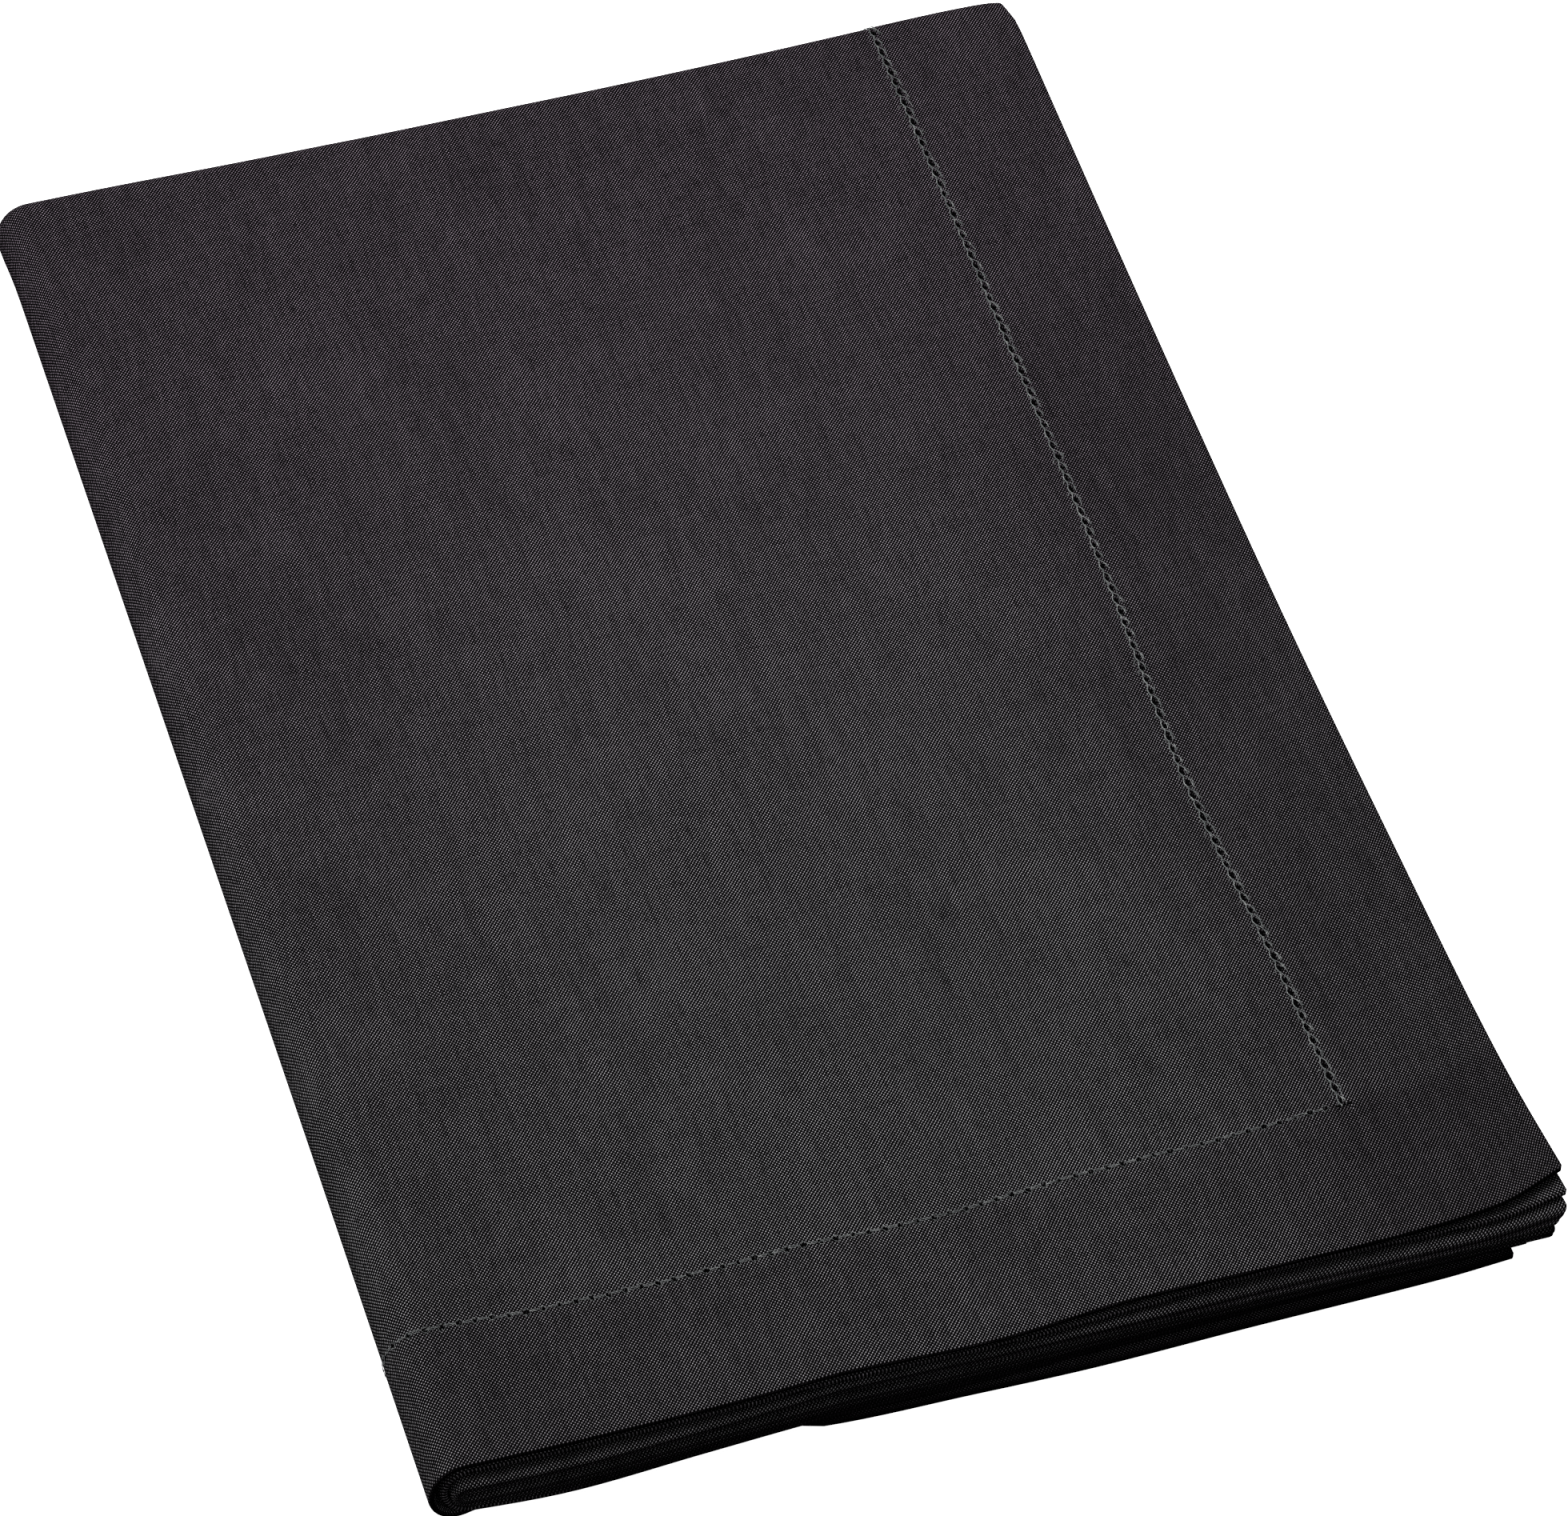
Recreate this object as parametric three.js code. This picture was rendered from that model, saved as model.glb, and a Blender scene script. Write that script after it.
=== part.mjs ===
// A hemmed table linen, folded in four along its length and then doubled across its width.
// Millimetres, +Z up, standing on its underside at z = 0, with the origin in the middle of
// its footprint. +Y is the far end, where the four plies turn back on themselves, and -X is the
// doubled side. The open hemmed edges lie at -Y and at +X.
// The cloth is one sheet: its middle surface is worked out on a grid of stations along the
// sheet's length and across its width, and each face lies half a thickness from it.
import * as THREE from 'three';

// Driving sizes of the sheet and of the bundle.
const THICKNESS = 1.2;
const PLY_PITCH = 2.1;
const PLIES = 4;
const HALF_STACK = PLY_PITCH * (PLIES - 0.5);
const OPEN_SIDE_X = 126;
const DOUBLED_SIDE_X = -126;
const NEAR_LINE_Y = -189;
const FAR_END_Y = 190;
const HEM_WIDTH = 37.5;
const GROOVE_HALF_WIDTH = 2.2;
const GROOVE_DEPTH = 0.35;
const HEM_RAISE = 0.1;
const FOLD_REACH = 1.25;

// Near edge of each ply, counted from NEAR_LINE_Y towards the far end at ten places across
// the width. The two fold plies are joined there, so their edge is the start of that fold.
// "open" is the open side, counted from OPEN_SIDE_X at five places along the length.
const ACROSS_AT_X = [-126, -96, -65, -45, -36, -2, 26, 62, 108, 126];
const ALONG_AT_Y = [-189, -150, -100, 0, 189];
const upperPlies = [
  {
    ply: 'top hem',
    near: [1.5, 1.8, 1.9, 2.6, 3.0, 1.8, 3.4, 3.7, 5.8, 9.0],
    open: [0.6, -1.1, -2.6, -4.6, -4.6],
  },
  {
    ply: 'second hem',
    near: [0.6, 0.6, 1.2, 1.7, 2.0, 1.6, 2.6, 4.0, 3.7, 6.1],
    open: [0.5, -1.4, -3.0, -5.2, -5.0],
  },
  {
    ply: 'upper fold ply',
    near: [1.6, 1.9, 2.8, 3.6, 4.0, 3.2, 2.9, 3.6, 3.0, 4.6],
    open: [0.2, -2.4, -3.6, -5.6, -5.4],
  },
  {
    ply: 'lower fold ply',
    near: [1.2, 1.1, 2.4, 3.4, 3.7, 2.4, 2.4, 2.0, 2.0, 3.2],
    open: [-2.6, -3.4, -4.2, -6.2, -6.0],
  },
];
const lowerPlies = [
  {
    ply: 'top hem',
    near: [1.2, 4.6, 4.4, 3.6, 1.0, 0.0, -0.5, 0.2, 0.8, 1.8],
    open: [-12.0, -12.4, -12.8, -12.2, -11.6],
  },
  {
    ply: 'second hem',
    near: [-0.6, -1.2, 0.2, 0.9, 1.2, 1.2, 1.9, 2.4, 2.9, 3.2],
    open: [-4.6, -5.6, -6.6, -8.0, -7.4],
  },
  {
    ply: 'upper fold ply',
    near: [0.6, 0.2, 1.7, 2.6, 3.0, 3.0, 5.2, 6.2, 6.7, 6.2],
    open: [-2.8, -4.0, -5.4, -7.4, -7.0],
  },
  {
    ply: 'lower fold ply',
    near: [0.6, 0.2, 1.7, 2.6, 3.0, 3.0, 5.2, 6.2, 6.7, 6.2],
    open: [-2.2, -3.6, -4.8, -6.6, -6.4],
  },
];

// The far end is a little askew, and the inner fold there stops short of the outer one.
const FAR_SKEW = [0.5, 0.6, 0.3, 0.2, 0.1, 0.2, 0.3, 0.9, 2.2, 2.0];
const INNER_FOLD_SHORT = 2.2;
const LOWER_FOLD_SHORT = 0.6;

// The doubled side drifts outwards towards the far end, and each ply keeps a sideways slack
// where it turns over there.
const DOUBLED_DRIFT = [1.5, 1.3, 1.0, 0.2, -1.6];
const TURN_SLACK = [0, 0.8, 0.4, 0];

// The middle of the outermost turn lies this far in from the doubled side.
const TURN_X = DOUBLED_SIDE_X + HALF_STACK + THICKNESS / 2;

// Smooth curve through evenly or unevenly spaced stations, flat beyond the first and the last.
function alongStations(places, values, at) {
  const last = places.length - 1;
  if (at <= places[0]) return values[0];
  if (at >= places[last]) return values[last];
  let i = 0;
  while (at > places[i + 1]) i += 1;
  const span = places[i + 1] - places[i];
  const t = (at - places[i]) / span;
  const before = places[Math.max(i - 1, 0)];
  const after = places[Math.min(i + 2, last)];
  const slopeIn = (values[i + 1] - values[Math.max(i - 1, 0)]) / (places[i + 1] - before);
  const slopeOut = (values[Math.min(i + 2, last)] - values[i]) / (after - places[i]);
  return values[i] * (1 + 2 * t) * (1 - t) ** 2 + values[i + 1] * t * t * (3 - 2 * t)
    + slopeIn * span * t * (1 - t) ** 2 + slopeOut * span * t * t * (t - 1);
}

function mix(a, b, t) {
  return a + (b - a) * t;
}

// A value held for each ply, read on a row that may be on its way from one ply to another.
function onPly(row, read) {
  return mix(read(row.from), read(row.to), row.passed);
}

// Values of the upper and the lower half of the bundle, blended round the doubled side.
function onHalves(row, column, read) {
  const upper = onPly(row, (i) => read(upperPlies[i]));
  const lower = onPly(row, (i) => read(lowerPlies[i]));
  return mix(lower, upper, 0.5 + 0.5 * Math.cos(column.turn));
}

// Soft swells that the whole bundle shares: it stands a little fuller over its folds and hems,
// by a share of the height that fades over a distance from where it is fullest.
const swells = [
  { over: 'doubled side', axis: 'x', at: DOUBLED_SIDE_X, fades: 38, gain: 0.035 },
  { over: 'far folds', axis: 'y', at: FAR_END_Y, fades: 45, gain: 0.03 },
  { over: 'near hems', axis: 'y', at: NEAR_LINE_Y + 20, fades: 30, gain: 0.02 },
];
const RIPPLE = { gain: 0.012, acrossLength: 258, alongLength: 421, acrossPhase: 0.8, alongPhase: 0.4 };

function fade(distance, length) {
  return Math.exp(-((distance / length) ** 2));
}

function loft(x, y) {
  const place = { x, y };
  const acrossWave = Math.sin((2 * Math.PI * x) / RIPPLE.acrossLength + RIPPLE.acrossPhase);
  const alongWave = Math.sin((2 * Math.PI * y) / RIPPLE.alongLength + RIPPLE.alongPhase);
  const swelling = swells.map((s) => s.gain * fade(place[s.axis] - s.at, s.fades));
  return swelling.reduce((sum, part) => sum + part, 1 + RIPPLE.gain * acrossWave * alongWave);
}

// The top hem lifts softly towards the free corner and ripples along its edge.
const CORNER_LIFT = 1.1;
const CORNER_LIFT_WIDTH = 34;
const HEM_LIFT_DEPTH = 26;
const HEM_RIPPLE = 0.28;
const HEM_RIPPLE_LENGTH = 119;

function topLift(x, y, depth) {
  const corner = CORNER_LIFT * fade(x - OPEN_SIDE_X, CORNER_LIFT_WIDTH);
  const ripple = HEM_RIPPLE * Math.sin((2 * Math.PI * x) / HEM_RIPPLE_LENGTH);
  return (corner + ripple) * fade(y - NEAR_LINE_Y, HEM_LIFT_DEPTH) * Math.max(1 - depth, 0);
}

// Rows: stations along the sheet's length, from the top hem to the second hem. A flat row lies
// a share of the way from its ply's near edge to the far end. A fold row stands at an angle
// round the fold, whose half-height is half the distance between the two plies it joins. The
// stations lie closer at the hems and folds, and three of them form the hemstitching's trough.
const hemShare = HEM_WIDTH / (FAR_END_Y - NEAR_LINE_Y);
const grooveShare = GROOVE_HALF_WIDTH / (FAR_END_Y - NEAR_LINE_Y);
const hemShares = [
  0, 0.03, hemShare - grooveShare, hemShare, hemShare + grooveShare, 0.2, 0.34, 0.5, 0.68, 0.84, 0.95,
];
const foldShares = [0.02, 0.08, 0.2, 0.36, 0.52, 0.7, 0.86, 0.96];

function flatRows(ply, shares, hemmed) {
  return shares.map((share) => ({
    depth: ply, from: ply, to: ply, passed: 0, share, reach: 0, hemmed,
  }));
}

function foldRows(from, to, near, steps) {
  const rows = [];
  const halfHeight = Math.abs(to - from) / 2;
  for (let i = 0; i <= steps; i += 1) {
    const angle = (Math.PI * i) / steps;
    const passed = 0.5 - 0.5 * Math.cos(angle);
    const reach = Math.sin(angle) * halfHeight * PLY_PITCH * FOLD_REACH;
    rows.push({
      depth: mix(from, to, passed),
      from,
      to,
      passed,
      share: near ? 0 : 1,
      reach: near ? -reach : reach,
      hemmed: false,
    });
  }
  return rows;
}

const OUTER_FOLD_STEPS = 9;
const INNER_FOLD_STEPS = 6;
const rows = [
  ...flatRows(0, hemShares, true),
  ...foldRows(0, 3, false, OUTER_FOLD_STEPS),
  ...flatRows(3, [...foldShares].reverse(), false),
  ...foldRows(3, 2, true, INNER_FOLD_STEPS),
  ...flatRows(2, foldShares, false),
  ...foldRows(2, 1, false, INNER_FOLD_STEPS),
  ...flatRows(1, [...hemShares].reverse(), true),
];

// Columns: stations across the sheet's width, from the open side of the upper half, round the
// doubled side and back to the open side of the lower half. The share is 0 at the open side.
// The lower half has one more, where the undermost hem comes out from under the others.
const sideHemShare = HEM_WIDTH / (OPEN_SIDE_X - TURN_X);
const sideGrooveShare = GROOVE_HALF_WIDTH / (OPEN_SIDE_X - TURN_X);
const flatShares = [0, 0.045, sideHemShare - sideGrooveShare, sideHemShare, sideHemShare + sideGrooveShare,
  0.24, 0.33, 0.42, 0.51, 0.6, 0.69, 0.78, 0.87, 0.95];
const KINK_SHARE = 0.645;
const TURN_STEPS = 9;
const columns = [];
for (const share of flatShares) {
  columns.push({ share, turn: 0 });
}
for (let i = 0; i <= TURN_STEPS; i += 1) {
  columns.push({ share: 1, turn: (Math.PI * i) / TURN_STEPS });
}
for (const share of [...flatShares, KINK_SHARE].sort((a, b) => b - a)) {
  columns.push({ share, turn: Math.PI });
}

// One point of the sheet's middle surface.
function middlePoint(row, column) {
  const radius = HALF_STACK - row.depth * PLY_PITCH;
  const turnBase = TURN_X + onPly(row, (i) => TURN_SLACK[i]) - radius * Math.sin(column.turn);
  const roughX = mix(OPEN_SIDE_X, turnBase, column.share);
  const nearY = NEAR_LINE_Y + onHalves(row, column, (p) => alongStations(ACROSS_AT_X, p.near, roughX));
  const outerReach = (PLIES - 1) * 0.5 * PLY_PITCH * FOLD_REACH + THICKNESS / 2;
  const innerShort = onPly(row, (i) => (i === 1 || i === 2 ? INNER_FOLD_SHORT : 0));
  const lowerShort = LOWER_FOLD_SHORT * (0.5 - 0.5 * Math.cos(column.turn));
  const farY = FAR_END_Y + alongStations(ACROSS_AT_X, FAR_SKEW, roughX)
    - outerReach - innerShort - lowerShort;
  const y = mix(nearY, farY, row.share) + row.reach;
  const turnX = turnBase + alongStations(ALONG_AT_Y, DOUBLED_DRIFT, y);
  const openX = OPEN_SIDE_X + onHalves(row, column, (p) => alongStations(ALONG_AT_Y, p.open, y));
  const x = mix(openX, turnX, column.share);
  const height = HALF_STACK + radius * Math.cos(column.turn);
  const lift = column.turn === 0 ? topLift(x, y, row.depth) : 0;
  return new THREE.Vector3(x, y, THICKNESS / 2 + height * loft(x, y) + lift);
}

// Half the cloth's thickness on its outer or inner face. The hems are fuller, with a shallow
// trough along the hemstitching. Round the doubled side and below, the outer face stays even, so
// that the bundle lies flat.
function halfThickness(row, column, outer) {
  const even = THICKNESS / 2;
  if (outer && column.turn > 0) return even;
  const inNearHem = row.hemmed && row.share < hemShare;
  const inSideHem = column.share < sideHemShare;
  const onNearTrough = row.hemmed && row.share === hemShare && !inSideHem;
  const onSideTrough = column.share === sideHemShare && !inNearHem;
  if (onNearTrough || onSideTrough) return even - GROOVE_DEPTH;
  return inNearHem || inSideHem ? even + HEM_RAISE : even;
}

function buildSheet() {
  const middle = rows.map((row) => columns.map((column) => middlePoint(row, column)));
  const across = columns.length;
  const along = rows.length;
  const positions = [];
  const normalAt = (r, c) => {
    const alongStep = new THREE.Vector3().subVectors(
      middle[Math.min(r + 1, along - 1)][c], middle[Math.max(r - 1, 0)][c]);
    const acrossStep = new THREE.Vector3().subVectors(
      middle[r][Math.min(c + 1, across - 1)], middle[r][Math.max(c - 1, 0)]);
    return new THREE.Vector3().crossVectors(alongStep, acrossStep).normalize();
  };
  for (const outer of [true, false]) {
    for (let r = 0; r < along; r += 1) {
      for (let c = 0; c < across; c += 1) {
        const half = halfThickness(rows[r], columns[c], outer);
        const point = middle[r][c].clone().addScaledVector(normalAt(r, c), outer ? half : -half);
        positions.push(...point.toArray());
      }
    }
  }
  const inner = along * across;
  const at = (r, c) => r * across + c;
  const index = [];
  const quad = (a, b, c, d) => index.push(a, b, c, a, c, d);
  for (let r = 0; r < along - 1; r += 1) {
    for (let c = 0; c < across - 1; c += 1) {
      quad(at(r, c), at(r + 1, c), at(r + 1, c + 1), at(r, c + 1));
      quad(inner + at(r, c), inner + at(r, c + 1), inner + at(r + 1, c + 1), inner + at(r + 1, c));
    }
  }
  for (let r = 0; r < along - 1; r += 1) {
    quad(at(r, 0), inner + at(r, 0), inner + at(r + 1, 0), at(r + 1, 0));
    quad(at(r + 1, across - 1), inner + at(r + 1, across - 1), inner + at(r, across - 1), at(r, across - 1));
  }
  for (let c = 0; c < across - 1; c += 1) {
    quad(at(0, c + 1), inner + at(0, c + 1), inner + at(0, c), at(0, c));
    quad(at(along - 1, c), inner + at(along - 1, c), inner + at(along - 1, c + 1), at(along - 1, c + 1));
  }
  const geometry = new THREE.BufferGeometry();
  geometry.setAttribute('position', new THREE.Float32BufferAttribute(positions, 3));
  geometry.setIndex(index);
  geometry.computeVertexNormals();
  return geometry;
}

// The middle of the footprint becomes the origin, and the underside lies at z = 0.
const geometry = buildSheet();
geometry.computeBoundingBox();
const { min, max } = geometry.boundingBox;
geometry.translate(-(min.x + max.x) / 2, -(min.y + max.y) / 2, -min.z);

const charcoalCloth = new THREE.MeshStandardMaterial({
  color: 0x3a3739,
  roughness: 0.92,
  metalness: 0,
});
const cloth = new THREE.Mesh(geometry, charcoalCloth);
cloth.name = 'folded_cloth';

const tablecloth = new THREE.Group();
tablecloth.add(cloth);

export default tablecloth;
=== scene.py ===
import bpy
import numpy as np
from mathutils import Matrix, Vector


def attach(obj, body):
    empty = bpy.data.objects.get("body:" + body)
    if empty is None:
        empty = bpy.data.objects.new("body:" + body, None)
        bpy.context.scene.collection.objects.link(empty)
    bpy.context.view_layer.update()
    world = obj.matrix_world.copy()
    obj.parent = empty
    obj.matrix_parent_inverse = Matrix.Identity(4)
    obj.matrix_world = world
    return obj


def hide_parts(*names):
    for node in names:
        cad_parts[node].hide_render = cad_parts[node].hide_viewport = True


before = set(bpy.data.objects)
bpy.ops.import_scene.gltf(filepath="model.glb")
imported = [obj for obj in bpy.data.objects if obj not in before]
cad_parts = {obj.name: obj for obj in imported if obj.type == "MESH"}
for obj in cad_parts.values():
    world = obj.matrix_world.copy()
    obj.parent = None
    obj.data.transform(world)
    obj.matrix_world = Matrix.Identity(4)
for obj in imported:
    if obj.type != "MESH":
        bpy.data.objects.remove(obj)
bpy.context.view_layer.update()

# A charcoal tablecloth with hemstitched hems, folded in four along its length and doubled across
# its width, lying on a pale floor. Sizes are millimetres, and points become metres in a mesh.
# u runs across the flat cloth from the open side of the upper half, round the doubled side, to
# the open side of the lower half. v runs along it, from the top hem to the hem under it.
METRES = 0.001

# The cloth
# One rectangle of plain-woven linen about 0.49 by 1.5 m, dyed charcoal, its edges turned over
# twice into hems. Pressed, folded back and forth into four plies, then doubled over sideways.
PLY_PITCH = 2.1
PLIES = 4
HALF_STACK = PLY_PITCH * (PLIES - 0.5)
SOLID_HALF = 0.6
# The bundle's four sides, before it is moved by the middle of its footprint to the frame's origin.
OPEN_SIDE_X = 126
DOUBLED_SIDE_X = -126
TURN_X = DOUBLED_SIDE_X + HALF_STACK + SOLID_HALF
NEAR_LINE_Y = -189
FAR_END_Y = 190
MIDDLE_X = -0.617
MIDDLE_Y = 0.749
HEM_WIDTH = 37.5
# A fold reaches out by this share of half its height, so it is a little deeper than a half circle.
FOLD_REACH = 1.25
# Flat sizes of one ply along the cloth and of one half across it.
FLAT_PLY = 377.0
FLAT_HALF = OPEN_SIDE_X - TURN_X

# Each run of the sheet is a flat ply or a fold between two plies. Its share goes from 0 at the
# near end to 1 at the far end.
def fold_length(plies_passed):
    """Half the girth of an ellipse as high as the plies it joins are apart, and a quarter deeper."""
    half_height = 0.5 * plies_passed * PLY_PITCH
    return np.pi * half_height * np.sqrt(0.5 + 0.5 * FOLD_REACH**2)


runs = np.array(
    [
        (0, 0, 0, 1, FLAT_PLY),
        (0, 3, 1, 1, fold_length(3)),
        (3, 3, 1, 0, FLAT_PLY),
        (3, 2, 0, 0, fold_length(1)),
        (2, 2, 0, 1, FLAT_PLY),
        (2, 1, 1, 1, fold_length(1)),
        (1, 1, 1, 0, FLAT_PLY),
    ],
    dtype=[("ply", float), ("next_ply", float), ("start", float), ("end", float), ("length", float)],
)
run_starts = np.concatenate([[0], np.cumsum(runs["length"])])
CLOTH_LENGTH = run_starts[-1]
TURN_LENGTH = np.pi * HALF_STACK
CLOTH_WIDTH = 2 * FLAT_HALF + TURN_LENGTH

# Near edge of each ply, from NEAR_LINE_Y towards the far end, at places across the width, and
# its open side, from OPEN_SIDE_X, at places along the length. Plies are numbered from the top.
ACROSS_AT_X = [-126, -96, -65, -45, -36, -2, 26, 62, 108, 126]
ALONG_AT_Y = [-189, -150, -100, 0, 189]
near_upper = [
    [1.1, 0.6, 1.1, 2.0, 2.5, 1.4, 3.2, 3.3, 4.5, 10.0],
    [1.2, 0.9, 1.4, 2.0, 2.2, 1.6, 2.6, 4.0, 3.3, 5.8],
    [0.6, 0.0, 1.2, 2.5, 3.2, 2.8, 2.7, 3.4, 3.0, 4.8],
    [0.8, 0.0, 1.7, 3.0, 3.5, 2.4, 2.4, 2.0, 2.0, 3.0],
]
near_lower = [
    [-0.8, 4.2, 4.4, 3.6, 1.0, 0.0, -0.5, 0.2, 0.8, 1.8],
    [0.3, -1.6, -0.1, 0.9, 1.2, 1.2, 1.9, 2.4, 2.9, 3.2],
    [0.6, 0.2, 1.7, 2.6, 3.0, 3.0, 3.4, 3.6, 3.4, 3.4],
    [0.6, 0.2, 1.7, 2.6, 3.0, 3.0, 3.4, 3.6, 3.4, 3.4],
]
open_upper = [
    [2.3, -0.8, -2.6, -4.6, -4.6],
    [1.8, -1.4, -3.0, -5.2, -5.0],
    [1.0, -2.2, -3.6, -5.6, -5.4],
    [-2.6, -3.4, -4.2, -6.2, -6.0],
]
open_lower = [
    [-11.0, -12.2, -12.8, -12.2, -11.6],
    [-7.6, -7.6, -7.8, -8.4, -7.4],
    [-2.8, -4.0, -5.4, -7.4, -7.0],
    [-2.2, -3.6, -4.8, -6.6, -6.4],
]
# The far end lies past FAR_END_Y by FAR_SKEW, at the places across. The folds of the inner plies
# and of the lower half stay short of it.
FAR_SKEW = [0.5, 0.6, 0.3, 0.2, 0.1, 0.2, 0.3, 0.9, 2.2, 2.0]
INNER_FOLD_SHORT = [0, 2.2, 2.2, 0]
LOWER_FOLD_SHORT = 0.6
OUTER_FOLD_REACH = 0.5 * (PLIES - 1) * PLY_PITCH * FOLD_REACH + SOLID_HALF
# The doubled side lies right of its line by DOUBLED_DRIFT, at the places along, and the turns of
# its inner plies by TURN_SLACK more.
DOUBLED_DRIFT = [1.5, 1.3, 1.0, 0.2, -1.6]
TURN_SLACK = [0, 0.8, 0.4, 0]

# Bumps are rows of: middle x and y, reach along x and y, height. These are the creases of the top
# ply, as soft ridges and troughs, and the shift to the left of the two far corners: the open one
# is drawn in and round, and the doubled one is full.
CREASES = [
    (-81, -72, 7, 52, 0.45),
    (-45, 64, 7, 34, 0.40),
    (80, 10, 9, 120, -0.30),
    (-33, -164, 10, 1.8, -0.25),
]
FAR_OPEN_CORNER = [(OPEN_SIDE_X, FAR_END_Y, 6, 5, 2.6)]
FAR_OPEN_CORNER_NEARER = 0.6
FAR_DOUBLED_CORNER = [(DOUBLED_SIDE_X, FAR_END_Y - 4, 8, 9, 0.7)]

# The top ply lifts towards its near open corner, and waves a little along its near edge.
CORNER_LIFT = 1.1
CORNER_LIFT_REACH = 34
NEAR_WAVE = 0.28
NEAR_WAVE_LENGTH = 119
NEAR_LIFT_REACH = 26

# The loose bundle stands a little higher in places, by these shares of its height.
LONG_RIPPLE = 0.012
RIPPLE_LENGTH_X = 258
RIPPLE_LENGTH_Y = 421
RIPPLE_START_X = 0.8
RIPPLE_START_Y = 0.4
DOUBLED_LOFT = 0.035
DOUBLED_LOFT_REACH = 38
FAR_LOFT = 0.03
FAR_LOFT_REACH = 45
NEAR_LOFT = 0.02
NEAR_LOFT_Y = NEAR_LINE_Y + 20
NEAR_LOFT_REACH = 30

# The stitched lines of the upper half wander in their hems: how much nearer they lie to the
# cloth's edge than HEM_WIDTH, at places along the line.
SIDE_DRIFT_AT_V = [37.5, 70, 92, 110, 135, 155, 190, 220, 250, 320, 377]
SIDE_DRIFT = [0.25, 0.8, 0.4, -0.3, -0.5, 0.5, 2.1, 2.9, 3.1, 3.2, 2.7]
NEAR_DRIFT_AT_U = [37.5, 45, 60, 80, 110, 170, 220, 236]
NEAR_DRIFT = [0.3, 0.9, 1.8, 2.3, 2.8, 3.4, 2.6, 1.6]


def along_stations(places, values, at):
    """Cubic Hermite curve through the values at the places, level outside them. Its slope at an
    inner place is the rise between the two neighbours over their distance."""
    places = np.asarray(places, float)
    values = np.asarray(values, float)
    last = len(places) - 1
    at = np.clip(at, places[0], places[-1])
    i = np.clip(np.searchsorted(places, at) - 1, 0, last - 1)
    before = np.maximum(i - 1, 0)
    after = np.minimum(i + 2, last)
    span = places[i + 1] - places[i]
    t = (at - places[i]) / span
    slope_in = (values[i + 1] - values[before]) / (places[i + 1] - places[before])
    slope_out = (values[after] - values[i]) / (places[after] - places[i])
    return (
        values[i] * (1 + 2 * t) * (1 - t) ** 2
        + values[i + 1] * t * t * (3 - 2 * t)
        + slope_in * span * t * (1 - t) ** 2
        + slope_out * span * t * t * (t - 1)
    )


def mix(a, b, t):
    """The way from a to b, at share t."""
    return a + (b - a) * t


def fade(distance, length):
    """Bell curve: 1 at no distance, and falling to about a third at the length."""
    return np.exp(-((distance / length) ** 2))


def smooth_step(low, high, at):
    """0 below low and 1 above high, with an S-shaped rise between them."""
    t = np.clip((at - low) / (high - low), 0, 1)
    return t * t * (3 - 2 * t)


def bumps(x, y, rows):
    """Sum of soft bumps: each is its height times a bell curve along x and another along y."""
    return sum(
        height * fade(x - middle_x, reach_x) * fade(y - middle_y, reach_y)
        for middle_x, middle_y, reach_x, reach_y, height in rows
    )


def loft(x, y):
    """Height of the loose bundle as a share of the tight one: 1, and bells over the doubled side,
    the far folds and the near hems, and the product of a sine along x and one along y."""
    ripple_x = np.sin(2 * np.pi * x / RIPPLE_LENGTH_X + RIPPLE_START_X)
    ripple_y = np.sin(2 * np.pi * y / RIPPLE_LENGTH_Y + RIPPLE_START_Y)
    doubled = DOUBLED_LOFT * fade(x - DOUBLED_SIDE_X, DOUBLED_LOFT_REACH)
    far = FAR_LOFT * fade(y - FAR_END_Y, FAR_LOFT_REACH)
    near = NEAR_LOFT * fade(y - NEAR_LOFT_Y, NEAR_LOFT_REACH)
    return 1 + LONG_RIPPLE * ripple_x * ripple_y + doubled + far + near


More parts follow.
